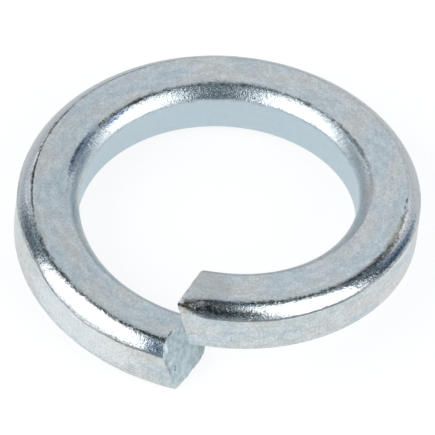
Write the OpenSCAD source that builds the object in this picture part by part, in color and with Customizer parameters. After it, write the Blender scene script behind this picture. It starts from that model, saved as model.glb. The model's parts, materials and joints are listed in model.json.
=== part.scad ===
// Split spring lock washer, one turn of nearly square wire, for a 12 mm screw with right-hand thread.
// The axis is Z, the slit faces -Y, and the lowest point of the lower end is at Z 0.

/* [Ring] */
// Inside diameter, a running clearance over the 12 mm screw
bore_d = 12.4; // [12.2:0.05:12.9]
// Width of the wire, from the bore to the outside
wire_w = 2.8; // [2.4:0.05:3.2]
// Thickness of the wire along the axis
wire_h = 2.45; // [2.2:0.05:2.8]
// Height over both ends before the washer is tightened
free_h = 5.6; // [5.2:0.05:6]

/* [Edges of the wire] */
// Radius along the upper outer edge
top_outer_r = 0.6; // [0.3:0.05:0.9]
// Radius along the upper inner edge
top_inner_r = 0.55; // [0.3:0.05:0.8]
// Radius along the lower outer edge
base_outer_r = 0.15; // [0.1:0.05:0.5]
// Radius along the lower inner edge
base_inner_r = 0.4; // [0.2:0.05:0.7]

/* [Sheared ends] */
// Gap between the two ends, along the pitch circle
slit_gap = 0.4; // [0.2:0.05:1.2]
// Angle that the shear cut leans over from the axis
cut_lean = 20; // [0:1:25]
// Angle of the shear cut from the radial line, seen from above
cut_yaw = 20; // [0:1:30]
// Radius left on the upper outer edge at the raised tip
tip_r = 0.12; // [0.08:0.01:0.2]
// Length over which that edge grows to its full radius
tip_run = 1.5; // [0.8:0.1:3]

/* [Fineness] */
// Rings of points round the coil
ring_count = 144; // [96:12:180]
// Straight pieces in each rounded edge
edge_count = 4; // [3:1:6]

/* [Hidden] */
// Radii of the bore, of the outside and of the circle midway between them
bore_r = bore_d / 2;
outer_r = bore_r + wire_w;
pitch_r = bore_r + wire_w / 2;
// Direction in which the slit lies from the axis, and the angle that half its gap takes up
slit_dir = -90;
half_slit = slit_gap / 2 / pitch_r * 180 / PI;
// The swept wire runs inside the bore by this much, and the bore is then cut clean through it
bore_stock = 0.25;
// Step at the foot of the inner roundings, so that the bore cuts a ledge and not a tangent line
bore_step = 0.01;
// How far the bore cutter stands past the washer at each end
through = 1;

// Points of one rounded edge, from angle a to a quarter turn further
function edge_arc(cx, cz, r, a) =
    [for (i = [0:edge_count]) [cx + r * cos(a + 90 * i / edge_count), cz + r * sin(a + 90 * i / edge_count)]];

// Cross-section of the wire as [radius, height], with the upper outer edge at radius r
function wire_section(r) = concat(
    edge_arc(outer_r - base_outer_r, base_outer_r, base_outer_r, -90),
    edge_arc(outer_r - r, wire_h - r, r, 0),
    edge_arc(bore_r + bore_step + top_inner_r, wire_h - top_inner_r, top_inner_r, 90),
    [[bore_r - bore_stock, wire_h - top_inner_r], [bore_r - bore_stock, base_inner_r]],
    edge_arc(bore_r + bore_step + base_inner_r, base_inner_r, base_inner_r, 180));

// How far the leaning, turned cut plane swings a point of the section round the axis
function cut_swing(p) =
    -asin(((p[0] - pitch_r) * tan(cut_yaw) + (p[1] - wire_h / 2) * tan(cut_lean)) / p[0]);

tip_section = wire_section(tip_r);
full_section = wire_section(top_outer_r);
point_count = len(full_section);
// Angles at which the upper and the lower end cut through a point of the section
function start_angle(p) = slit_dir + half_slit + cut_swing(p);
function stop_angle(p) = slit_dir + 360 - half_slit + cut_swing(p);

starts = [for (p = tip_section) start_angle(p)];
stops = [for (p = full_section) stop_angle(p)];
// Angles of the highest point, on the raised tip, and of the lowest, under the lower end
high_angle = start_angle([outer_r - tip_r, wire_h]);
low_angle = stop_angle([bore_r + bore_step + base_inner_r, 0]);

// Height of the wire's underside at an angle round the coil
function base_z(a) = (free_h - wire_h) * (low_angle - a) / (low_angle - high_angle);

// Radius of the upper outer edge at share t of the turn: it dies out towards the raised tip
function outer_edge_r(t) =
    let (run = min(1, t * 2 * PI * outer_r / tip_run), share = run * run * (3 - 2 * run))
    tip_r + (top_outer_r - tip_r) * share;

// One ring of points across the wire, at share t of the way from the upper to the lower end
function coil_ring(t) =
    let (section = wire_section(outer_edge_r(t)))
    [for (k = [0:point_count - 1])
        let (p = section[k], a = starts[k] + (stops[k] - starts[k]) * t)
        [p[0] * cos(a), p[0] * sin(a), p[1] + base_z(a)]];

// Middle of a ring of points, where the facets of a cut face meet
function mean_point(ps) = [for (j = [0:2]) [for (p = ps) 1] * [for (p = ps) p[j]] / len(ps)];

// The one turn of wire, its stock still standing inside the bore
module coil_blank() {
    rings = [for (i = [0:ring_count]) each coil_ring(i / ring_count)];
    upper_ring = 0;
    lower_ring = ring_count * point_count;
    upper_middle = len(rings);
    lower_middle = upper_middle + 1;
    middles = [for (t = [0, 1]) mean_point(coil_ring(t))];
    sides = [for (i = [0:ring_count - 1], k = [0:point_count - 1])
        let (n = (k + 1) % point_count, a = i * point_count, b = a + point_count)
        each [[a + k, b + n, b + k], [a + k, a + n, b + n]]];
    upper_face = [for (k = [0:point_count - 1])
        [upper_middle, upper_ring + (k + 1) % point_count, upper_ring + k]];
    lower_face = [for (k = [0:point_count - 1])
        [lower_middle, lower_ring + k, lower_ring + (k + 1) % point_count]];
    polyhedron(concat(rings, middles), concat(sides, upper_face, lower_face));
}

module lock_washer() {
    color("lightsteelblue")
    difference() {
        coil_blank();
        translate([0, 0, -through])
            cylinder(d = bore_d, h = free_h + 2 * through, $fn = 180);
    }
}

lock_washer();
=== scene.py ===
import json
import math

import bmesh
import bpy
from mathutils import Matrix, Vector, noise


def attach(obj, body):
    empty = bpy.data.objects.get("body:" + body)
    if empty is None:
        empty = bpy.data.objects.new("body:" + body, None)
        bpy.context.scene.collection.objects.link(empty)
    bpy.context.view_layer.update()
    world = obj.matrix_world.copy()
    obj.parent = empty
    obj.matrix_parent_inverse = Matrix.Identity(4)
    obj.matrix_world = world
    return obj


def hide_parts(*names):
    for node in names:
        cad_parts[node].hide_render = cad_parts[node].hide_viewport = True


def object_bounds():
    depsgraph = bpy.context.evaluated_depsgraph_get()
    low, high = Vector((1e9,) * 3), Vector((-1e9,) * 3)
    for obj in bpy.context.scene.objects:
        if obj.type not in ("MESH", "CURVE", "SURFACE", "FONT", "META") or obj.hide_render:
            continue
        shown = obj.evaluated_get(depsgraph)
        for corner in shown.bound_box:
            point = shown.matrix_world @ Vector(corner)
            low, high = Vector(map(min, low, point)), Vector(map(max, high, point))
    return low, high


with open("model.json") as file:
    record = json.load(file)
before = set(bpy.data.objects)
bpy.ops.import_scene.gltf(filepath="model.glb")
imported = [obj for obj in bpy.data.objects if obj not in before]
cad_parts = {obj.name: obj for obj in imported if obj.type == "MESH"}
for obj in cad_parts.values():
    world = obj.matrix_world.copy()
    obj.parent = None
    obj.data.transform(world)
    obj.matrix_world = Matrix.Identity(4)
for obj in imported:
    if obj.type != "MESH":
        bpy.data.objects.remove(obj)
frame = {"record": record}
cad_low, cad_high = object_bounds()


# The wire of the washer. It is spring steel drawn to a nearly square section with rounded edges,
# broader on the upper side, and it is drawn here lying across the X axis before it is coiled.
mm = 0.001
bore_radius = frame["record"]["mounts"][0]["dims"]["r_mm"] * mm
outer_radius = (cad_high.x - cad_low.x) / 2
free_height = cad_high.z - cad_low.z
wire_width = outer_radius - bore_radius
wire_height = 2.45 * mm
pitch_radius = bore_radius + wire_width / 2
top_outer_round = 0.6 * mm
top_inner_round = 0.55 * mm
base_outer_round = 0.15 * mm
base_inner_round = 0.4 * mm
top_crease_tilt = 26
round_pieces = 10
flat_cuts = 5
crease_width = 0.02 * mm
touching = 0.01 * mm
same_place = 0.001 * mm
long_side = 1 * mm


def deselect_all(piece):
    """Everything in the piece's mesh, which is in edit mode, is let go."""
    for part in ("verts", "edges", "faces"):
        for element in getattr(bmesh.from_edit_mesh(piece.data), part):
            element.select = False


def pick(piece, kind, wanted):
    """In edit mode, selects the points, edges or faces for which wanted says yes."""
    bpy.ops.mesh.select_mode(type=kind)
    mesh = bmesh.from_edit_mesh(piece.data)
    deselect_all(piece)
    elements = {"VERT": mesh.verts, "EDGE": mesh.edges, "FACE": mesh.faces}[kind]
    for element in elements:
        if wanted(element):
            element.select_set(True)
    mesh.select_flush_mode()
    bmesh.update_edit_mesh(piece.data)


bpy.ops.object.select_all(action="DESELECT")
bpy.ops.mesh.primitive_plane_add(size=1, rotation=(math.radians(90), 0, 0))
washer = bpy.context.object
washer.name = "washer"
washer.data.name = "washer"
washer.scale = (wire_width, wire_height, 1)
washer.location = (pitch_radius, 0, wire_height / 2)
bpy.ops.object.transform_apply(location=True, rotation=True, scale=True)
bpy.ops.object.mode_set(mode="EDIT")
corners = (
    (outer_radius, wire_height, top_outer_round, top_crease_tilt),
    (bore_radius, wire_height, top_inner_round, top_crease_tilt),
    (outer_radius, 0, base_outer_round, 0),
    (bore_radius, 0, base_inner_round, 0),
)
creases = []
for corner_x, corner_z, reach, crease_tilt in corners:
    corner = Vector((corner_x, 0, corner_z))
    pick(washer, "VERT", lambda v: (v.co - corner).length < touching)
    bpy.ops.mesh.bevel(affect="VERTICES", offset=reach, offset_type="OFFSET",
                       segments=round_pieces, profile=0.5)
    inward = Vector((math.copysign(1, pitch_radius - corner_x), 0,
                     math.copysign(1, wire_height / 2 - corner_z)))
    centre = corner + inward * reach
    creases.extend((Vector((centre.x, 0, corner_z)), Vector((corner_x, 0, centre.z))))
    # A rounding with a tilt is a flatter arc, which meets the flats at that angle and leaves a crease.
    tilt = math.radians(crease_tilt)
    flat_radius = reach / math.sqrt(2) / math.sin(math.pi / 4 - tilt)
    flat_centre = reach / 2 - flat_radius * math.cos(math.pi / 4 - tilt) / math.sqrt(2)
    for vertex in bmesh.from_edit_mesh(washer.data).verts:
        out_x = (centre.x - vertex.co.x) * inward.x
        out_z = (centre.z - vertex.co.z) * inward.z
        if min(out_x, out_z) > -same_place:
            bearing = tilt + math.atan2(out_z, out_x) * (1 - tilt * 4 / math.pi)
            vertex.co.x = centre.x - (flat_centre + flat_radius * math.cos(bearing)) * inward.x
            vertex.co.z = centre.z - (flat_centre + flat_radius * math.sin(bearing)) * inward.z
    bmesh.update_edit_mesh(washer.data)
pick(washer, "VERT", lambda v: min((v.co - crease).length for crease in creases) < same_place)
bpy.ops.mesh.bevel(affect="VERTICES", offset=crease_width, offset_type="OFFSET", segments=1)
pick(washer, "EDGE", lambda e: e.calc_length() > long_side)
bpy.ops.mesh.subdivide(number_cuts=flat_cuts)
pick(washer, "FACE", lambda f: True)
bpy.ops.mesh.delete(type="ONLY_FACE")
bpy.ops.object.mode_set(mode="OBJECT")


# The coil. The wire is wound to one left-handed turn, higher at its first end, and runs past both
# cuts until the shear takes the overrun off.
slit_gap = 0.4 * mm
cut_lean = math.tan(math.radians(20))
cut_yaw = math.tan(math.radians(20))
tip_round = 0.12 * mm
tip_run = 1.5 * mm
slit_angle = math.radians(-90)
half_slit = slit_gap / 2 / pitch_radius
overrun = math.radians(14)
coil_steps = 760
turn_slack = 0.3 * mm


def cut_swing(radius, height):
    """How far the leaning, turned cut swings a point of the section round the axis."""
    aside = (radius - pitch_radius) * cut_yaw + (height - wire_height / 2) * cut_lean
    return -math.asin(aside / radius)


start_angle = slit_angle + half_slit
stop_angle = slit_angle + math.tau - half_slit
high_angle = start_angle + cut_swing(outer_radius - tip_round, wire_height)
low_angle = stop_angle + cut_swing(bore_radius + base_inner_round, 0)
fall = (free_height - wire_height) / (low_angle - high_angle)


def underside(angle):
    """Height of the wire's underside at an angle round the coil."""
    return fall * (low_angle - angle)


first_angle = start_angle - overrun
turn = stop_angle - start_angle + 2 * overrun
wind = washer.modifiers.new("wind", "SCREW")
wind.axis = "Z"
wind.angle = turn
wind.screw_offset = -fall * turn
wind.steps = coil_steps
wind.render_steps = coil_steps
bpy.ops.object.modifier_apply(modifier=wind.name)
washer.rotation_euler.z = first_angle
washer.location.z = underside(first_angle)
bpy.ops.object.transform_apply(location=True, rotation=True, scale=True)


def along_coil(place):
    """Angle round the coil, distance from the axis and height over the wire's underside."""
    angle = math.atan2(place.y, place.x)
    if angle < first_angle or place.z < underside(angle) - turn_slack:
        angle += math.tau
    return angle, math.hypot(place.x, place.y), place.z - underside(angle)


# The upper outer rounding. The coiling rolls left it shallow on the left and right and deeper just
# before the lower end, and where the punch sheared the upper end off it dies away towards the tip.
# Each pair is a place along the coil in mm and the rounding's depth there, as a share of its reach.
rolled_depths = ((-9.0, 1.0), (-6.0, 0.92), (-2.5, 0.78), (1.5, 1.0), (22.0, 1.0), (26.0, 0.85),
                 (28.2, 0.8), (30.5, 1.15), (31.6, 1.35), (33.0, 1.2), (34.5, 1.0))


def rolled_depth(angle):
    """How deep the upper outer rounding reaches down the wall, as a share of its reach inwards."""
    along = angle * pitch_radius / mm
    share = rolled_depths[0][1]
    for (before, share_before), (after, share_after) in zip(rolled_depths, rolled_depths[1:]):
        way = min(1, max(0, (along - before) / (after - before)))
        share += (share_after - share_before) * way * way * (3 - 2 * way)
    return share


def outer_edge_reach(angle):
    """How far the upper outer rounding reaches from the corner, at an angle round the coil."""
    run = min(1, max(0, (angle - high_angle) * outer_radius / tip_run))
    return tip_round + (top_outer_round - tip_round) * run * run * (3 - 2 * run)


for vertex in washer.data.vertices:
    angle, radius, height = along_coil(vertex.co)
    border = wire_height - top_outer_round
    new_border = wire_height - top_outer_round * rolled_depth(angle)
    if radius > outer_radius - top_outer_round and height > base_outer_round:
        if height > border:
            height = wire_height - (wire_height - height) * (wire_height - new_border) / top_outer_round
        else:
            height += (new_border - border) * (height - base_outer_round) / (border - base_outer_round)
        vertex.co.z = height + underside(angle)
    share = outer_edge_reach(angle) / top_outer_round
    if share < 1 and min(radius - outer_radius, height - wire_height) > -top_outer_round:
        radius = outer_radius - (outer_radius - radius) * share
        height = wire_height - (wire_height - height) * share
        vertex.co = (radius * math.cos(angle), radius * math.sin(angle), height + underside(angle))


# The two sheared ends. One punch stroke cut the wire through at a slant, leaning over and turned from
# the radial line, so both faces are flat and parallel, a little rough, and ragged along their edges.
# A nick is given by its place, its half width and its depth, all in mm.
end_cell = 0.1 * mm
end_cells = 15
hair = 0.00001 * mm
cap_corners = 8
swell_size = 0.6 * mm
swell_height = 0.03 * mm
swell_fade = 0.7
tear_size = 0.14 * mm
tear_height = 0.014 * mm
tear_fade = 0.8
finer_by = 2
octaves = 3
smooth_angle = 32
nicks = (
    ((-0.93, -8.07, 2.5), 0.16, 0.09),
    ((-0.43, -8.7, 0.9), 0.2, 0.08),
    ((-0.75, -8.92, 1.5), 0.25, 0.06),
)


def shear(angle, keep_after):
    """Cuts the coil at an angle and closes the cut with a rough face of small cells."""
    radial = Vector((math.cos(angle), math.sin(angle), 0))
    tangent = Vector((-math.sin(angle), math.cos(angle), 0))
    middle = radial * pitch_radius + Vector((0, 0, underside(angle) + wire_height / 2))
    normal = (tangent + radial * cut_yaw + Vector((0, 0, cut_lean))).normalized()
    near_cut = 2 * overrun
    pick(washer, "FACE", lambda f: abs(along_coil(f.calc_center_median())[0] - angle) < near_cut)
    bpy.ops.mesh.bisect(plane_co=middle, plane_no=normal, use_fill=True, threshold=hair,
                        clear_inner=keep_after, clear_outer=not keep_after)
    pick(washer, "FACE", lambda f: len(f.verts) > cap_corners
         and abs((f.verts[0].co - middle).dot(normal)) < touching)
    bpy.ops.mesh.hide(unselected=True)
    for direction in (radial, normal.cross(radial)):
        for step in range(-end_cells, end_cells + 1):
            bpy.ops.mesh.select_all(action="SELECT")
            bpy.ops.mesh.bisect(plane_co=middle + direction * (step * end_cell), plane_no=direction,
                                threshold=hair)
    mesh = bmesh.from_edit_mesh(washer.data)
    inwards = normal if keep_after else -normal
    for vertex in mesh.verts:
        if any(not face.hide for face in vertex.link_faces):
            swell = noise.fractal(vertex.co / swell_size, swell_fade, finer_by, octaves)
            tear = noise.fractal(vertex.co / tear_size, tear_fade, finer_by, octaves)
            sunk = swell * swell_height
            sunk += tear * tear_height
            for place, width, nick_depth in nicks:
                away = (vertex.co - Vector(place) * mm).length / (width * mm)
                sunk += nick_depth * mm * max(0, 1 - away * away) ** 2
            vertex.co += inwards * sunk
    for face in mesh.faces:
        if not face.hide:
            face.material_index = 1
    bpy.ops.mesh.reveal(select=False)


bpy.ops.object.mode_set(mode="EDIT")
shear(start_angle, True)
shear(stop_angle, False)
pick(washer, "FACE", lambda f: True)
bpy.ops.mesh.normals_make_consistent(inside=False)
bpy.ops.object.mode_set(mode="OBJECT")
bpy.ops.object.shade_smooth_by_angle(angle=math.radians(smooth_angle))


# What the finish reads from the wire: how far along, out and up a point lies on the uncoiled wire,
# and how deep it lies in one of the rounded edges, as lengths in metres.
def edge_depth(angle, radius, height):
    """Depth of a point of the section in the nearest rounding, below 0 on the flats."""
    reach = outer_edge_reach(angle)
    share = rolled_depth(angle)
    # Where the rolls left the rounding shallow, the tumbling stopped short of its foot.
    tumbled_reach = reach * min(share, share * share)
    return max(
        min(radius - outer_radius + reach, height - wire_height + tumbled_reach),
        min(bore_radius + top_inner_round - radius, height - wire_height + top_inner_round),
        min(radius - outer_radius + base_outer_round, base_outer_round - height),
        min(bore_radius + base_inner_round - radius, base_inner_round - height),
    )


wire_places, depths = [], []
for vertex in washer.data.vertices:
    angle, radius, height = along_coil(vertex.co)
    wire_places.extend((angle * pitch_radius, radius, height))
    depths.append(edge_depth(angle, radius, height))
on_cut = [float(polygon.material_index) for polygon in washer.data.polygons]
for polygon in washer.data.polygons:
    polygon.material_index = 0
washer.data.attributes.new("wire_place", "FLOAT_VECTOR", "POINT")
washer.data.attributes.new("rounding", "FLOAT", "POINT")
washer.data.attributes.new("sheared", "FLOAT", "FACE")
washer.data.attributes["wire_place"].data.foreach_set("vector", wire_places)
washer.data.attributes["rounding"].data.foreach_set("value", depths)
washer.data.attributes["sheared"].data.foreach_set("value", on_cut)


# What the punch did to the ends. It dragged the raised end down a little, left a burr under it and
# rolled its inner corner, and it twisted the lower part of the other end and rolled its foot up, so
# that face is turned less at its foot than at its head.
drag_run = 1.6 * mm
drag = 0.1 * mm
drag_back = 0.08 * mm
burr = 0.09 * mm
burr_height = 0.6 * mm
twist = 0.22 * mm
inner_twist = 0.6
foot_roll = 0.12 * mm
foot_falloff = 3
corner_roll = 0.17 * mm
corner_reach = 0.5 * mm
for vertex in washer.data.vertices:
    angle, radius, height = along_coil(vertex.co)
    side = (radius - pitch_radius) / (wire_width / 2)
    level = height / wire_height
    by_tip = max(0, 1 - max(0, (angle - high_angle) * radius) / drag_run) ** 2
    by_foot = max(0, 1 - max(0, (low_angle - angle) * radius) / drag_run) ** 2
    lift = by_foot * foot_roll * max(0, 1 - level * foot_falloff) ** 2 * abs(side) ** 3
    lift -= by_tip * (drag + burr * max(0, 1 - height / burr_height))
    turned = twist * max(0, 1 - level) * (side if side > 0 else inner_twist * side)
    from_cut = abs(angle - start_angle - cut_swing(radius, height)) * radius
    from_bore = radius - bore_radius
    by_corner = max(0, 1 - from_cut / corner_reach) * max(0, 1 - from_bore / corner_reach) ** 2
    angle += (by_tip * drag_back + by_foot * turned + by_corner * corner_roll) / radius
    vertex.co = (radius * math.cos(angle), radius * math.sin(angle), vertex.co.z + lift)


# Bright zinc plate, blue passivated. The flats keep the drawn wire's fine grain under the plate and
# look satin, and the rounded edges are tumbled bright but finely pitted, so they mirror the lamps.
# The real grain, about 0.02 mm, is too fine to show, so grain and bump are drawn 0.07 to 0.08 mm.
def shade(hex_colour):
    """A colour written as sRGB hex, in linear light."""
    parts = [int(hex_colour[i:i + 2], 16) / 255 for i in (1, 3, 5)]
    return [*(p / 12.92 if p <= 0.04045 else ((p + 0.055) / 1.055) ** 2.4 for p in parts), 1]


def add_node(tree, kind, inputs, output=0, **settings):
    """Adds a node with its settings and gives one of its outputs; an input given as a socket is linked."""
    node = tree.nodes.new(kind)
    for name, value in settings.items():
        setattr(node, name, value)
    for name, value in inputs.items():
        if isinstance(value, bpy.types.NodeSocket):
            tree.links.new(value, node.inputs[name])
        else:
            node.inputs[name].default_value = value
    return node.outputs[output] if len(node.outputs) else node


zinc = bpy.data.materials.new("bright_zinc_plate")
zinc.use_nodes = True
tree = zinc.node_tree
tree.nodes.clear()
smooth = {"interpolation_type": "SMOOTHSTEP"}
in_colour = {"output": 2, "data_type": "RGBA"}
place = add_node(tree, "ShaderNodeAttribute", {}, output="Vector", attribute_name="wire_place")
depth = add_node(tree, "ShaderNodeAttribute", {}, output="Fac", attribute_name="rounding")
sheared = add_node(tree, "ShaderNodeAttribute", {}, output="Fac", attribute_name="sheared")

# Places on the wire in millimetres, and the same drawn out lengthways as the wire was in drawing.
# Along the coil the raised end lies at -12.4, the far side at 11.9 and the lower end at 36.
drawn_out = 0.45
in_mm = add_node(tree, "ShaderNodeVectorMath", {0: place, 1: (1 / mm, 1 / mm, 1 / mm)},
                 operation="MULTIPLY")
drawn = add_node(tree, "ShaderNodeVectorMath", {0: place, 1: (drawn_out / mm, 1 / mm, 1 / mm)},
                 operation="MULTIPLY")
along = add_node(tree, "ShaderNodeSeparateXYZ", {0: in_mm}, output="X")
outward = add_node(tree, "ShaderNodeSeparateXYZ", {0: in_mm}, output="Y")
up = add_node(tree, "ShaderNodeSeparateXYZ", {0: in_mm}, output="Z")

# Where the tumbling burnished the edges: the depth in the rounding, its border made ragged and calmer
# low on the wall. It took the upper edges only, and in the bore it faded away towards the slit.
far_bore_at = 13.4
ragged_size = 0.13
ragged_reach = 0.12 * mm
outer_half = add_node(tree, "ShaderNodeMapRange", {
    "Value": outward, "From Min": pitch_radius / mm - 0.3, "From Max": pitch_radius / mm + 0.3})
upper_half = add_node(tree, "ShaderNodeMapRange", {"Value": up, "From Min": 0.9, "From Max": 1.4},
                      **smooth)
far_way = add_node(tree, "ShaderNodeMath", {0: along, 1: far_bore_at}, operation="SUBTRACT")
far_way = add_node(tree, "ShaderNodeMath", {0: far_way}, operation="ABSOLUTE")
far_bore = add_node(tree, "ShaderNodeMapRange", {"Value": far_way, "From Min": 12.8, "From Max": 9.6},
                    **smooth)
tumbled = add_node(tree, "ShaderNodeMath", {0: outer_half, 1: far_bore}, operation="MAXIMUM")
tumbled = add_node(tree, "ShaderNodeMath", {0: tumbled, 1: upper_half}, operation="MULTIPLY")
ragged = add_node(tree, "ShaderNodeTexNoise", {
    "Vector": in_mm, "Scale": 1 / ragged_size, "Detail": 4, "Roughness": 0.75})
at_top = add_node(tree, "ShaderNodeMapRange", {
    "Value": up, "From Min": 1.95, "From Max": 2.25, "To Min": 0.3})
ragged_depth = add_node(tree, "ShaderNodeMath", {0: ragged, 1: 2 * ragged_reach, 2: -ragged_reach},
                        operation="MULTIPLY_ADD")
ragged_depth = add_node(tree, "ShaderNodeMath", {0: ragged_depth, 1: at_top, 2: depth},
                        operation="MULTIPLY_ADD")
burnish = add_node(tree, "ShaderNodeMapRange", {
    "Value": ragged_depth, "From Min": -0.02 * mm, "From Max": 0.03 * mm}, **smooth)
burnish = add_node(tree, "ShaderNodeMath", {0: burnish, 1: tumbled}, operation="MULTIPLY")

# The flats: cool and warm clouds about 1.5 mm wide, paler stains and a dark grain like fine paper.
cloud_size = 1.3
stain_size = 0.28
grain_size = 0.08
cool_flat = shade("#bbc7cc")
warm_flat = shade("#c8cac6")
pale_stain = shade("#e4eaed")
dark_grain = shade("#7d868b")
cloud = add_node(tree, "ShaderNodeTexNoise", {"Vector": drawn, "Scale": 1 / cloud_size, "Detail": 3})
cloud = add_node(tree, "ShaderNodeMapRange", {"Value": cloud, "From Min": 0.38, "From Max": 0.62},
                 **smooth)
stain = add_node(tree, "ShaderNodeTexNoise", {
    "Vector": drawn, "Scale": 1 / stain_size, "Detail": 4, "Roughness": 0.6})
stain = add_node(tree, "ShaderNodeMapRange", {
    "Value": stain, "From Min": 0.3, "From Max": 0.75, "To Max": 0.55}, **smooth)
grain = add_node(tree, "ShaderNodeTexNoise", {
    "Vector": in_mm, "Scale": 1 / grain_size, "Detail": 3, "Roughness": 0.7})
grain = add_node(tree, "ShaderNodeMapRange", {
    "Value": grain, "From Min": 0.36, "From Max": 0.62, "To Min": 0.36, "To Max": 0}, **smooth)
flat_colour = add_node(tree, "ShaderNodeMix", {0: cloud, 6: cool_flat, 7: warm_flat}, **in_colour)
flat_colour = add_node(tree, "ShaderNodeMix", {0: stain, 6: flat_colour, 7: pale_stain}, **in_colour)
flat_colour = add_node(tree, "ShaderNodeMix", {0: grain, 6: flat_colour, 7: dark_grain}, **in_colour)

# The passivation came out bluer in the bore.
bore_share = 0.8
bore_blue = shade("#cde0ea")
in_bore = add_node(tree, "ShaderNodeMapRange", {
    "Value": outward, "From Min": bore_radius / mm + 0.12, "From Max": bore_radius / mm + 0.03})
in_bore = add_node(tree, "ShaderNodeMath", {0: in_bore, 1: bore_share}, operation="MULTIPLY")
flat_colour = add_node(tree, "ShaderNodeMix", {0: in_bore, 6: flat_colour, 7: bore_blue}, **in_colour)

# Faint upright scratches low on the outer wall, where the coiling rolls pressed.
scratch_width = 0.07
scratch_length = 1.6
pressed_size = 1.8
scratch_grey = shade("#8c9193")
scratch = add_node(tree, "ShaderNodeVectorMath", {0: in_mm, 1: (1 / scratch_width, 1, 1 / scratch_length)},
                   operation="MULTIPLY")
scratch = add_node(tree, "ShaderNodeTexNoise", {"Vector": scratch, "Scale": 1, "Detail": 2})
scratch = add_node(tree, "ShaderNodeMapRange", {
    "Value": scratch, "From Min": 0.52, "From Max": 0.7, "To Max": 0.4}, **smooth)
pressed = add_node(tree, "ShaderNodeTexNoise", {"Vector": in_mm, "Scale": 1 / pressed_size, "Detail": 2})
pressed = add_node(tree, "ShaderNodeMapRange", {"Value": pressed, "From Min": 0.46, "From Max": 0.62},
                   **smooth)
scratch = add_node(tree, "ShaderNodeMath", {0: scratch, 1: pressed}, operation="MULTIPLY")
low_wall = add_node(tree, "ShaderNodeMapRange", {"Value": up, "From Min": 1.4, "From Max": 0.7},
                    **smooth)
outside = add_node(tree, "ShaderNodeMapRange", {
    "Value": outward, "From Min": outer_radius / mm - 0.3, "From Max": outer_radius / mm - 0.1})
scratch = add_node(tree, "ShaderNodeMath", {0: scratch, 1: low_wall}, operation="MULTIPLY")
scratch = add_node(tree, "ShaderNodeMath", {0: scratch, 1: outside}, operation="MULTIPLY")
flat_colour = add_node(tree, "ShaderNodeMix", {0: scratch, 6: flat_colour, 7: scratch_grey}, **in_colour)

# The burnished edges: nearly white metal with dark pits, in drifts where the tumbling missed them.
# The left stretch of the outer edge came out smoother, with fewer pits and less hammering.
pit_size = 0.11
drift_size = 0.9
drift_share = 0.35
left_at = 21.5
bright_metal = shade("#dee3e5")
pit_brown = shade("#54504e")
pits = add_node(tree, "ShaderNodeTexNoise", {
    "Vector": in_mm, "Scale": 1 / pit_size, "Detail": 3, "Roughness": 0.65})
drift = add_node(tree, "ShaderNodeTexNoise", {"Vector": drawn, "Scale": 1 / drift_size, "Detail": 2})
pits = add_node(tree, "ShaderNodeMath", {0: drift, 1: drift_share, 2: pits}, operation="MULTIPLY_ADD")
pits = add_node(tree, "ShaderNodeMapRange", {
    "Value": pits, "From Min": 0.74, "From Max": 0.9, "To Max": 0.6}, **smooth)
left_way = add_node(tree, "ShaderNodeMath", {0: along, 1: left_at}, operation="SUBTRACT")
left_way = add_node(tree, "ShaderNodeMath", {0: left_way}, operation="ABSOLUTE")
calm_left = add_node(tree, "ShaderNodeMapRange", {
    "Value": left_way, "From Min": 5.5, "From Max": 3.0, "To Max": -0.65}, **smooth)
beaten = add_node(tree, "ShaderNodeMath", {0: calm_left, 1: outer_half, 2: 1.0}, operation="MULTIPLY_ADD")
pits = add_node(tree, "ShaderNodeMath", {0: pits, 1: beaten}, operation="MULTIPLY")
round_colour = add_node(tree, "ShaderNodeMix", {0: pits, 6: bright_metal, 7: pit_brown}, **in_colour)
colour = add_node(tree, "ShaderNodeMix", {0: burnish, 6: flat_colour, 7: round_colour}, **in_colour)

# A dark line along the creases, strong in places and almost gone in others. It is nearly gone round the
# back of the outer edge.
patchy_size = 0.5
crumb_size = 0.12
crease_spread = 0.06 * mm
back_at = 9.5
crease_line_colour = shade("#4d4a48")
patchy = add_node(tree, "ShaderNodeTexNoise", {
    "Vector": in_mm, "Scale": 1 / patchy_size, "Detail": 3, "Roughness": 0.65})
patchy = add_node(tree, "ShaderNodeMapRange", {
    "Value": patchy, "From Min": 0.36, "From Max": 0.64, "To Min": 0.12, "To Max": 0.9}, **smooth)
spread = add_node(tree, "ShaderNodeMath", {0: ragged_depth}, operation="ABSOLUTE")
spread = add_node(tree, "ShaderNodeMath", {0: patchy, 1: -crease_spread, 2: spread},
                  operation="MULTIPLY_ADD")
crease = add_node(tree, "ShaderNodeMapRange", {
    "Value": spread, "From Min": 0.05 * mm, "From Max": 0.01 * mm}, **smooth)
crumbs = add_node(tree, "ShaderNodeTexNoise", {
    "Vector": in_mm, "Scale": 1 / crumb_size, "Detail": 3, "Roughness": 0.7})
crumbs = add_node(tree, "ShaderNodeMapRange", {
    "Value": crumbs, "From Min": 0.4, "From Max": 0.56, "To Min": 0.2}, **smooth)
crease = add_node(tree, "ShaderNodeMath", {0: crease, 1: crumbs}, operation="MULTIPLY")
back_way = add_node(tree, "ShaderNodeMath", {0: along, 1: back_at}, operation="SUBTRACT")
back_way = add_node(tree, "ShaderNodeMath", {0: back_way}, operation="ABSOLUTE")
faint_back = add_node(tree, "ShaderNodeMapRange", {
    "Value": back_way, "From Min": 8.5, "From Max": 10.5, "To Min": 0.15}, **smooth)
faint_back = add_node(tree, "ShaderNodeMath", {0: faint_back, 1: outer_half}, operation="MULTIPLY")
in_front = add_node(tree, "ShaderNodeMath", {0: 1.0, 1: outer_half}, operation="SUBTRACT")
in_front = add_node(tree, "ShaderNodeMath", {0: in_front, 1: far_bore, 2: faint_back},
                    operation="MULTIPLY_ADD")
in_front = add_node(tree, "ShaderNodeMath", {0: in_front, 1: upper_half}, operation="MULTIPLY")
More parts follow.
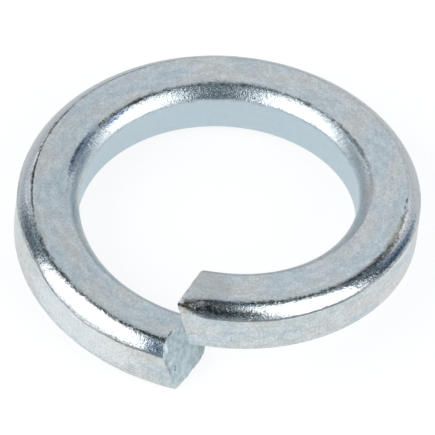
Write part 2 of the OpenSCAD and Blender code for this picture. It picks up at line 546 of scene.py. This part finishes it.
patchy = add_node(tree, "ShaderNodeMath", {0: patchy, 1: in_front}, operation="MULTIPLY")
patchy = add_node(tree, "ShaderNodeMath", {0: patchy, 1: at_top}, operation="MULTIPLY")
crease = add_node(tree, "ShaderNodeMath", {0: crease, 1: patchy}, operation="MULTIPLY")
colour = add_node(tree, "ShaderNodeMix", {0: crease, 6: colour, 7: crease_line_colour}, **in_colour)

# Painted shade: a wider dark band beside the outer crease on both sides of the slit stands in for the dark
# reflection of the gap between the lamps, above the highlight.
far_side_at = 11.9
painted_band_colour = shade("#56544e")
painted_dark_band = add_node(tree, "ShaderNodeMapRange", {
    "Value": ragged_depth, "From Min": 0.2 * mm, "From Max": 0.08 * mm}, **smooth)
painted_dark_band = add_node(tree, "ShaderNodeMath", {0: painted_dark_band, 1: burnish}, operation="MULTIPLY")
painted_dark_band = add_node(tree, "ShaderNodeMath", {0: painted_dark_band, 1: crumbs}, operation="MULTIPLY")
slit_way = add_node(tree, "ShaderNodeMath", {0: along, 1: far_side_at}, operation="SUBTRACT")
slit_way = add_node(tree, "ShaderNodeMath", {0: slit_way}, operation="ABSOLUTE")
by_slit = add_node(tree, "ShaderNodeMapRange", {
    "Value": slit_way, "From Min": 13.0, "From Max": 16.0, "To Max": 0.85}, **smooth)
painted_dark_band = add_node(tree, "ShaderNodeMath", {0: painted_dark_band, 1: by_slit}, operation="MULTIPLY")
painted_dark_band = add_node(tree, "ShaderNodeMath", {0: painted_dark_band, 1: outer_half}, operation="MULTIPLY")
painted_dark_band = add_node(tree, "ShaderNodeMath", {0: painted_dark_band, 1: at_top}, operation="MULTIPLY")
colour = add_node(tree, "ShaderNodeMix", {0: painted_dark_band, 6: colour, 7: painted_band_colour}, **in_colour)

# A thin grey line marks the foot of the outer rounding on both sides of the slit.
rim_grey = shade("#5d6367")
rim = add_node(tree, "ShaderNodeMath", {0: ragged_depth}, operation="ABSOLUTE")
rim = add_node(tree, "ShaderNodeMapRange", {
    "Value": rim, "From Min": 0.06 * mm, "From Max": 0.02 * mm, "To Max": 0.75}, **smooth)
under_top = add_node(tree, "ShaderNodeMapRange", {"Value": up, "From Min": 2.32, "From Max": 2.2})
rim = add_node(tree, "ShaderNodeMath", {0: rim, 1: under_top}, operation="MULTIPLY")
rim = add_node(tree, "ShaderNodeMath", {0: rim, 1: outside}, operation="MULTIPLY")
rim_way = add_node(tree, "ShaderNodeMapRange", {"Value": slit_way, "From Min": 15.0, "From Max": 18.0},
                   **smooth)
rim = add_node(tree, "ShaderNodeMath", {0: rim, 1: rim_way}, operation="MULTIPLY")
rim = add_node(tree, "ShaderNodeMath", {0: rim, 1: upper_half}, operation="MULTIPLY")
colour = add_node(tree, "ShaderNodeMix", {0: rim, 6: colour, 7: rim_grey}, **in_colour)

# The sheared faces: torn steel under thin plate, greener and duller, with pale veins.
vein_size = 0.3
torn_steel = shade("#9fb1b6")
pale_vein = shade("#bfcdd1")
veins = add_node(tree, "ShaderNodeTexNoise", {
    "Vector": in_mm, "Scale": 1 / vein_size, "Detail": 5, "Roughness": 0.65})
veins = add_node(tree, "ShaderNodeMapRange", {"Value": veins, "From Min": 0.35, "From Max": 0.65},
                 **smooth)
torn_colour = add_node(tree, "ShaderNodeMix", {0: veins, 6: torn_steel, 7: pale_vein}, **in_colour)
colour = add_node(tree, "ShaderNodeMix", {0: sheared, 6: colour, 7: torn_colour}, **in_colour)

# Marks the photo shows, each one a patch on the wire with its middle and half its size in millimetres
# along, outward and up the wire, its colour and its strength. The border of each is made ragged.
marks = (
    # The raised tip: painted shade on the outer edge where it mirrors dark, its core in two coats that
    # paint out a glint, a rusty speck and a white spot.
    ((-11.25, 8.72, 2.2), (1.5, 0.42, 0.42), "#55504d", 0.7),
    ((-10.2, 8.8, 2.1), (1.3, 0.16, 0.2), "#4b4038", 0.75),
    ((-11.6, 8.78, 2.26), (0.8, 0.2, 0.2), "#3c3e42", 0.95),
    ((-11.6, 8.78, 2.26), (0.7, 0.2, 0.2), "#3c3e42", 0.95),
    ((-12.2, 8.85, 2.4), (0.2, 0.2, 0.14), "#6b4a2f", 0.85),
    ((-12.42, 8.8, 2.42), (0.16, 0.18, 0.1), "#ffffff", 1.0),
    ((-11.4, 7.6, 2.45), (1.4, 1.2, 0.3), "#a6a39e", 0.45),
    ((-12.2, 8.98, 2.2), (0.5, 0.1, 0.16), "#b3a389", 0.5),
    # The head of the lower end: painted shade in the nicks along its upper edge, with painted highlights
    # beside them.
    ((35.02, 7.97, 2.44), (0.05, 0.13, 0.08), "#33383e", 0.9),
    ((34.98, 8.12, 2.44), (0.04, 0.1, 0.06), "#33383e", 0.8),
    ((34.98, 8.54, 2.38), (0.06, 0.07, 0.08), "#f4f6f6", 0.9),
    ((35.2, 7.88, 2.36), (0.1, 0.14, 0.1), "#f4f6f6", 0.8),
    ((35.1, 7.75, 2.42), (0.08, 0.08, 0.08), "#f2ead6", 0.8),
    ((35.0, 8.62, 2.1), (0.12, 0.12, 0.3), "#eef3f5", 0.8),
    # The outer edge of the lower cut face, from its nick, darkened with painted shade, down to its foot,
    # with a painted highlight on its rim, and its inner corner.
    ((35.46, 8.43, 0.92), (0.14, 0.05, 0.1), "#34424e", 0.9),
    ((35.46, 8.5, 0.8), (0.14, 0.05, 0.1), "#34424e", 0.9),
    ((35.12, 8.88, 1.5), (0.14, 0.06, 0.3), "#8a7a6c", 0.6),
    ((35.28, 8.88, 1.0), (0.12, 0.06, 0.3), "#6a6062", 0.65),
    ((35.35, 8.7, 1.35), (0.14, 0.16, 0.26), "#e4e9ea", 0.6),
    ((35.66, 8.7, 0.05), (0.25, 0.3, 0.12), "#d6cfc2", 0.6),
    ((36.3, 6.62, 0.3), (0.2, 0.1, 0.6), "#8f8a80", 0.5),
    # The outer side before the lower end: a paler wall, partly whitish scuffs and partly painted light,
    # short scratches and a blue painted reflection above them.
    ((31.2, 9.0, 1.0), (3.2, 0.15, 1.0), "#e8ebed", 0.55),
    ((33.75, 9.0, 0.3), (0.3, 0.1, 0.03), "#84898c", 0.6),
    ((33.8, 9.0, 0.44), (0.26, 0.1, 0.03), "#84898c", 0.6),
    ((33.8, 9.0, 0.58), (0.28, 0.1, 0.03), "#84898c", 0.6),
    ((33.85, 9.0, 0.73), (0.2, 0.1, 0.03), "#84898c", 0.6),
    ((34.6, 8.85, 2.1), (0.45, 0.3, 0.4), "#5b7ba6", 0.55),
    # The outer edge on the left: a dark crease over grey and green painted shade, which stands in for a
    # dark reflection on the rounding.
    ((24.4, 8.37, 2.45), (2.1, 0.06, 0.09), "#2b2826", 0.9),
    ((21.2, 8.38, 2.45), (1.8, 0.05, 0.08), "#3f3a36", 0.7),
    ((24.9, 8.5, 2.4), (1.5, 0.13, 0.12), "#9599a2", 0.6),
    ((27.3, 8.62, 2.3), (1.7, 0.28, 0.24), "#62777e", 0.65),
    ((17.6, 8.38, 2.45), (2.4, 0.04, 0.07), "#6d5f55", 0.6),
    # The bore's upper edge: painted shade on the far side, dark lines and a blue painted reflection to the
    # left, and grey painted shade to the right.
    ((12.9, 6.5, 2.3), (2.6, 0.5, 0.45), "#5d7078", 0.6),
    ((17.6, 6.72, 2.42), (1.2, 0.1, 0.12), "#2c2722", 0.8),
    ((22.2, 6.78, 2.42), (1.9, 0.22, 0.16), "#5b7d9f", 0.75),
    ((22.4, 6.84, 2.45), (1.5, 0.08, 0.1), "#2b2926", 0.85),
    ((4.7, 6.7, 2.42), (1.6, 0.1, 0.1), "#66787f", 0.75),
    # Painted reflections: a pale stretch low on the outer edge on the right, and a blue one in the bore on
    # the left.
    ((1.2, 8.93, 2.05), (2.6, 0.12, 0.22), "#cfe0e6", 0.6),
    ((19.2, 6.62, 2.35), (1.0, 0.14, 0.2), "#3f679a", 0.6),
    # The outer edge on the right: brown specks and a dark line in the crease, painted shade and a blue
    # painted reflection on the rounding under it, and a white painted reflection at the top of the wall.
    ((0.5, 8.33, 2.45), (0.16, 0.06, 0.1), "#3b3530", 0.7),
    ((0.05, 8.3, 2.45), (0.12, 0.06, 0.1), "#3b3530", 0.7),
    ((-0.6, 8.32, 2.45), (0.3, 0.08, 0.1), "#5b5348", 0.6),
    ((-1.8, 8.36, 2.43), (1.4, 0.14, 0.12), "#8b8566", 0.6),
    ((-2.9, 8.5, 2.4), (1.5, 0.14, 0.12), "#2e2c27", 0.75),
    ((-4.5, 8.55, 2.36), (1.4, 0.26, 0.2), "#33363b", 0.6),
    ((-1.7, 8.82, 2.13), (1.8, 0.13, 0.18), "#3a6f9f", 0.75),
    ((-1.2, 8.98, 1.92), (2.2, 0.08, 0.2), "#f0f0ee", 0.6),
    ((-4.3, 8.8, 2.16), (1.1, 0.18, 0.16), "#4b555c", 0.6),
    # The bore's upper edge on the right, where it has a rosy tarnish.
    ((1.0, 6.76, 2.44), (1.5, 0.08, 0.06), "#a58d8c", 0.55),
    ((-2.0, 6.72, 2.44), (1.6, 0.07, 0.06), "#a99cb0", 0.6),
)
wobble_size = 0.12
wobble_share = 1.6
broken_size = 0.09
wobble = add_node(tree, "ShaderNodeTexNoise", {
    "Vector": in_mm, "Scale": 1 / wobble_size, "Detail": 3, "Roughness": 0.65})
broken = add_node(tree, "ShaderNodeTexNoise", {
    "Vector": in_mm, "Scale": 1 / broken_size, "Detail": 2, "Roughness": 0.6})
broken = add_node(tree, "ShaderNodeMapRange", {
    "Value": broken, "From Min": 0.4, "From Max": 0.56, "To Min": 0.5}, **smooth)
for middle, half, hex_colour, strength in marks:
    per_half = [1 / side for side in half]
    distance = add_node(tree, "ShaderNodeVectorMath", {0: in_mm, 1: middle}, operation="SUBTRACT")
    distance = add_node(tree, "ShaderNodeVectorMath", {0: distance, 1: per_half}, operation="MULTIPLY")
    distance = add_node(tree, "ShaderNodeVectorMath", {0: distance}, output="Value", operation="LENGTH")
    distance = add_node(tree, "ShaderNodeMath", {0: wobble, 1: wobble_share, 2: distance},
                        operation="MULTIPLY_ADD")
    patch = add_node(tree, "ShaderNodeMapRange", {
        "Value": distance, "From Min": 1.9, "From Max": 1.4, "To Max": strength}, **smooth)
    patch = add_node(tree, "ShaderNodeMath", {0: patch, 1: broken}, operation="MULTIPLY")
    colour = add_node(tree, "ShaderNodeMix", {0: patch, 6: colour, 7: shade(hex_colour)}, **in_colour)

# Satin flats, brighter edges and duller cuts; the bump is the wire's grain under the plate, rougher on
# the bore's edge, with broader hammering on the edges that breaks up the ends of the highlights.
flat_roughness = 0.36
edge_roughness = 0.2
cut_dulling = 0.08
fine_size = 0.07
fine_height = 0.012 * mm
gritty_share = 1.2
hammer_size = 0.2
hammer_height = 0.03 * mm
roughness = add_node(tree, "ShaderNodeMapRange", {
    "Value": burnish, "To Min": flat_roughness, "To Max": edge_roughness})
roughness = add_node(tree, "ShaderNodeMath", {0: sheared, 1: cut_dulling, 2: roughness},
                     operation="MULTIPLY_ADD")
fine = add_node(tree, "ShaderNodeTexNoise", {
    "Vector": in_mm, "Scale": 1 / fine_size, "Detail": 3, "Roughness": 0.6})
gritty = add_node(tree, "ShaderNodeMath", {0: 1.0, 1: outer_half}, operation="SUBTRACT")
gritty = add_node(tree, "ShaderNodeMath", {0: gritty, 1: burnish}, operation="MULTIPLY")
gritty = add_node(tree, "ShaderNodeMath", {0: gritty, 1: gritty_share, 2: 1.0}, operation="MULTIPLY_ADD")
fine = add_node(tree, "ShaderNodeMath", {0: fine, 1: gritty}, operation="MULTIPLY")
fine_bump = add_node(tree, "ShaderNodeBump", {"Height": fine, "Strength": 0.6, "Distance": fine_height})
hammered = add_node(tree, "ShaderNodeTexNoise", {
    "Vector": in_mm, "Scale": 1 / hammer_size, "Detail": 3, "Roughness": 0.7})
hammered = add_node(tree, "ShaderNodeMath", {0: hammered, 1: beaten}, operation="MULTIPLY")
hammered = add_node(tree, "ShaderNodeMath", {0: hammered, 1: burnish}, operation="MULTIPLY")
bump = add_node(tree, "ShaderNodeBump", {
    "Height": hammered, "Strength": 0.7, "Distance": hammer_height, "Normal": fine_bump})
finish = add_node(tree, "ShaderNodeBsdfPrincipled", {
    "Base Color": colour, "Metallic": 1.0, "Roughness": roughness, "Normal": bump})
add_node(tree, "ShaderNodeOutputMaterial", {"Surface": finish})
washer.data.materials.clear()
washer.data.materials.append(zinc)

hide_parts("lock_washer")
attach(washer, "root")


# The surface the washer lies on. A sprung washer tips until the inner corner of its lower end and the
# outer edge on its far side both touch, so the plane slopes a little against the washer's own axis.
floor_slope_x = 0.0477
floor_slope_y = 0.1047
floor_height = 0.6515 * mm
floor_size = 4
floor_normal = Vector((-floor_slope_x, -floor_slope_y, 1)).normalized()
bpy.ops.object.select_all(action="DESELECT")
bpy.ops.mesh.primitive_plane_add(size=floor_size)
floor = bpy.context.object
floor.name = "floor"
floor.rotation_euler = floor_normal.to_track_quat("Z", "Y").to_euler()
floor.location = (0, 0, floor_height)
bpy.ops.object.transform_apply(location=True, rotation=True, scale=True)

# White paper. It glows white for the camera and in the metal's reflections and takes the washer's shadow.
# In the reflections alone its glow carries painted shade inside the ring and behind the washer, where the
# washer would shade the table.
paper_glow = 0.81
mirrored_glow = 0.09
paper_grey = shade("#8c8c8c")
paper = bpy.data.materials.new("white_paper")
paper.use_nodes = True
tree = paper.node_tree
tree.nodes.clear()
spot = add_node(tree, "ShaderNodeTexCoord", {}, output="Object")
away = add_node(tree, "ShaderNodeVectorMath", {0: spot}, output="Value", operation="LENGTH")
away = add_node(tree, "ShaderNodeMapRange", {"Value": away, "From Min": 9.5 * mm, "From Max": 13 * mm},
                **smooth)
behind = add_node(tree, "ShaderNodeSeparateXYZ", {0: spot}, output="Y")
behind = add_node(tree, "ShaderNodeMapRange", {
    "Value": behind, "From Min": -3 * mm, "From Max": 6 * mm, "To Max": 0.46}, **smooth)
# Painted shade on the paper's glow in the reflections, inside the ring and behind the washer.
painted_shade = add_node(tree, "ShaderNodeMath", {0: away, 1: behind}, operation="MULTIPLY")
in_ring = add_node(tree, "ShaderNodeVectorMath", {0: spot}, output="Value", operation="LENGTH")
in_ring = add_node(tree, "ShaderNodeMapRange", {
    "Value": in_ring, "From Min": 8 * mm, "From Max": 6 * mm, "To Max": 0.24}, **smooth)
painted_shade = add_node(tree, "ShaderNodeMath", {0: painted_shade, 1: in_ring}, operation="ADD")
camera_ray = add_node(tree, "ShaderNodeLightPath", {}, output="Is Camera Ray")
glossy_ray = add_node(tree, "ShaderNodeLightPath", {}, output="Is Glossy Ray")
seen = add_node(tree, "ShaderNodeMath", {0: camera_ray, 1: glossy_ray}, operation="MAXIMUM")
painted_shade = add_node(tree, "ShaderNodeMath", {0: painted_shade, 1: glossy_ray}, operation="MULTIPLY")
glow = add_node(tree, "ShaderNodeMath", {0: glossy_ray, 1: mirrored_glow, 2: paper_glow},
                operation="MULTIPLY_ADD")
glow = add_node(tree, "ShaderNodeMath", {0: glow, 1: painted_shade}, operation="SUBTRACT")
sheet = add_node(tree, "ShaderNodeBsdfDiffuse", {"Color": paper_grey})
glow = add_node(tree, "ShaderNodeEmission", {"Color": shade("#ffffff"), "Strength": glow})
white = add_node(tree, "ShaderNodeAddShader", {0: sheet, 1: glow})
surface = add_node(tree, "ShaderNodeMixShader", {0: seen, 1: sheet, 2: white})
add_node(tree, "ShaderNodeOutputMaterial", {"Surface": surface})
floor.data.materials.append(paper)


# The light. Two soft boxes stand to the left and right in front of the washer and a dimmer one leans
# over it from behind, as small parts are lit on a white table.
box_distance = 0.4


def soft_box(name, azimuth, half_width, height, middle, lean, roll, radiance):
    """A lamp panel turned to the washer, its azimuth running from the front to the right in degrees."""
    turn_to = math.radians(azimuth)
    lamp = bpy.data.lights.new(name, "AREA")
    lamp.shape = "RECTANGLE"
    lamp.size = 2 * box_distance * math.tan(math.radians(half_width))
    lamp.size_y = height
    lamp.energy = radiance * math.pi * lamp.size * lamp.size_y
    panel = bpy.data.objects.new(name, lamp)
    panel.matrix_world = (
        Matrix.Translation((box_distance * math.sin(turn_to), -box_distance * math.cos(turn_to), middle))
        @ Matrix.Rotation(turn_to, 4, "Z")
        @ Matrix.Rotation(math.radians(90 - lean), 4, "X")
        @ Matrix.Rotation(math.radians(roll), 4, "Z"))
    bpy.context.scene.collection.objects.link(panel)


soft_box("left_soft_box", azimuth=-56, half_width=29, height=0.56, middle=0.32, lean=0, roll=6,
         radiance=2.3)
soft_box("right_soft_box", azimuth=67, half_width=25, height=0.56, middle=0.32, lean=0, roll=11,
         radiance=2.3)
soft_box("back_soft_box", azimuth=186, half_width=57, height=0.42, middle=0.42, lean=35, roll=0,
         radiance=0.56)

# The room round the table is white for the camera and dim in the metal: pale behind the washer and
# low down, grey in front and above, and dusky blue in the corner to the right.
back_wall_azimuth = math.radians(186.5)
corner_azimuth = math.radians(112)
pale_wall = shade("#b6bac1")
grey_wall = shade("#6d7f89")
blue_corner = shade("#31506e")
room = bpy.data.worlds.new("room")
bpy.context.scene.world = room
room.use_nodes = True
tree = room.node_tree
tree.nodes.clear()
camera_ray = add_node(tree, "ShaderNodeLightPath", {}, output="Is Camera Ray")
towards = add_node(tree, "ShaderNodeTexCoord", {}, output="Generated")
back_wall = Vector((math.sin(back_wall_azimuth), -math.cos(back_wall_azimuth), 0))
behind = add_node(tree, "ShaderNodeVectorMath", {0: towards, 1: back_wall}, output="Value",
                  operation="DOT_PRODUCT")
behind = add_node(tree, "ShaderNodeMapRange", {"Value": behind, "From Min": 0.43, "From Max": 0.6},
                  **smooth)
low_down = add_node(tree, "ShaderNodeSeparateXYZ", {0: towards}, output="Z")
low_down = add_node(tree, "ShaderNodeMapRange", {"Value": low_down, "From Min": 0.17, "From Max": 0.05},
                    **smooth)
pale = add_node(tree, "ShaderNodeMath", {0: behind, 1: low_down}, operation="MAXIMUM")
dark_corner = Vector((math.sin(corner_azimuth), -math.cos(corner_azimuth), 0))
dusk = add_node(tree, "ShaderNodeVectorMath", {0: towards, 1: dark_corner}, output="Value",
                operation="DOT_PRODUCT")
dusk = add_node(tree, "ShaderNodeMapRange", {"Value": dusk, "From Min": 0.75, "From Max": 0.92},
                **smooth)
wall_colour = add_node(tree, "ShaderNodeMix", {0: dusk, 6: grey_wall, 7: blue_corner}, **in_colour)
wall_colour = add_node(tree, "ShaderNodeMix", {0: pale, 6: wall_colour, 7: pale_wall}, **in_colour)
dim = add_node(tree, "ShaderNodeBackground", {"Color": wall_colour})
bright = add_node(tree, "ShaderNodeBackground", {"Color": shade("#ffffff"), "Strength": 1.0})
surface = add_node(tree, "ShaderNodeMixShader", {0: camera_ray, 1: dim, 2: bright})
add_node(tree, "ShaderNodeOutputWorld", {"Surface": surface})


# The camera, a long lens looking down at the slit from the front, turned a little about its own axis.
# It aims at a point a little above the middle of the washer's height.
camera_height = math.radians(45.296)
camera_azimuth = math.radians(4.178)
camera_roll = math.radians(6.879)
camera_distance = 735.1 * mm
frame_width = 36.0
focal_length = 1360.9
aim = Vector((0, 0, 2.825 * mm))
aim_right = 0.018 * mm
aim_up = 0.442 * mm
backward = Vector((math.sin(camera_azimuth) * math.cos(camera_height),
                   -math.cos(camera_azimuth) * math.cos(camera_height),
                   math.sin(camera_height)))
level = Vector((math.cos(camera_azimuth), math.sin(camera_azimuth), 0))
upright = backward.cross(level)
rightward = level * math.cos(camera_roll) + upright * math.sin(camera_roll)
upward = upright * math.cos(camera_roll) - level * math.sin(camera_roll)
eye = aim + backward * camera_distance - rightward * aim_right - upward * aim_up
lens = bpy.data.cameras.new("camera")
lens.lens = focal_length
lens.sensor_width = frame_width
lens.clip_start = 0.01
lens.clip_end = 10
camera = bpy.data.objects.new("camera", lens)
camera.matrix_world = Matrix((
    (rightward.x, upward.x, backward.x, eye.x),
    (rightward.y, upward.y, backward.y, eye.y),
    (rightward.z, upward.z, backward.z, eye.z),
    (0, 0, 0, 1)))
bpy.context.scene.collection.objects.link(camera)
bpy.context.scene.camera = camera
bpy.context.scene.view_settings.view_transform = "Standard"
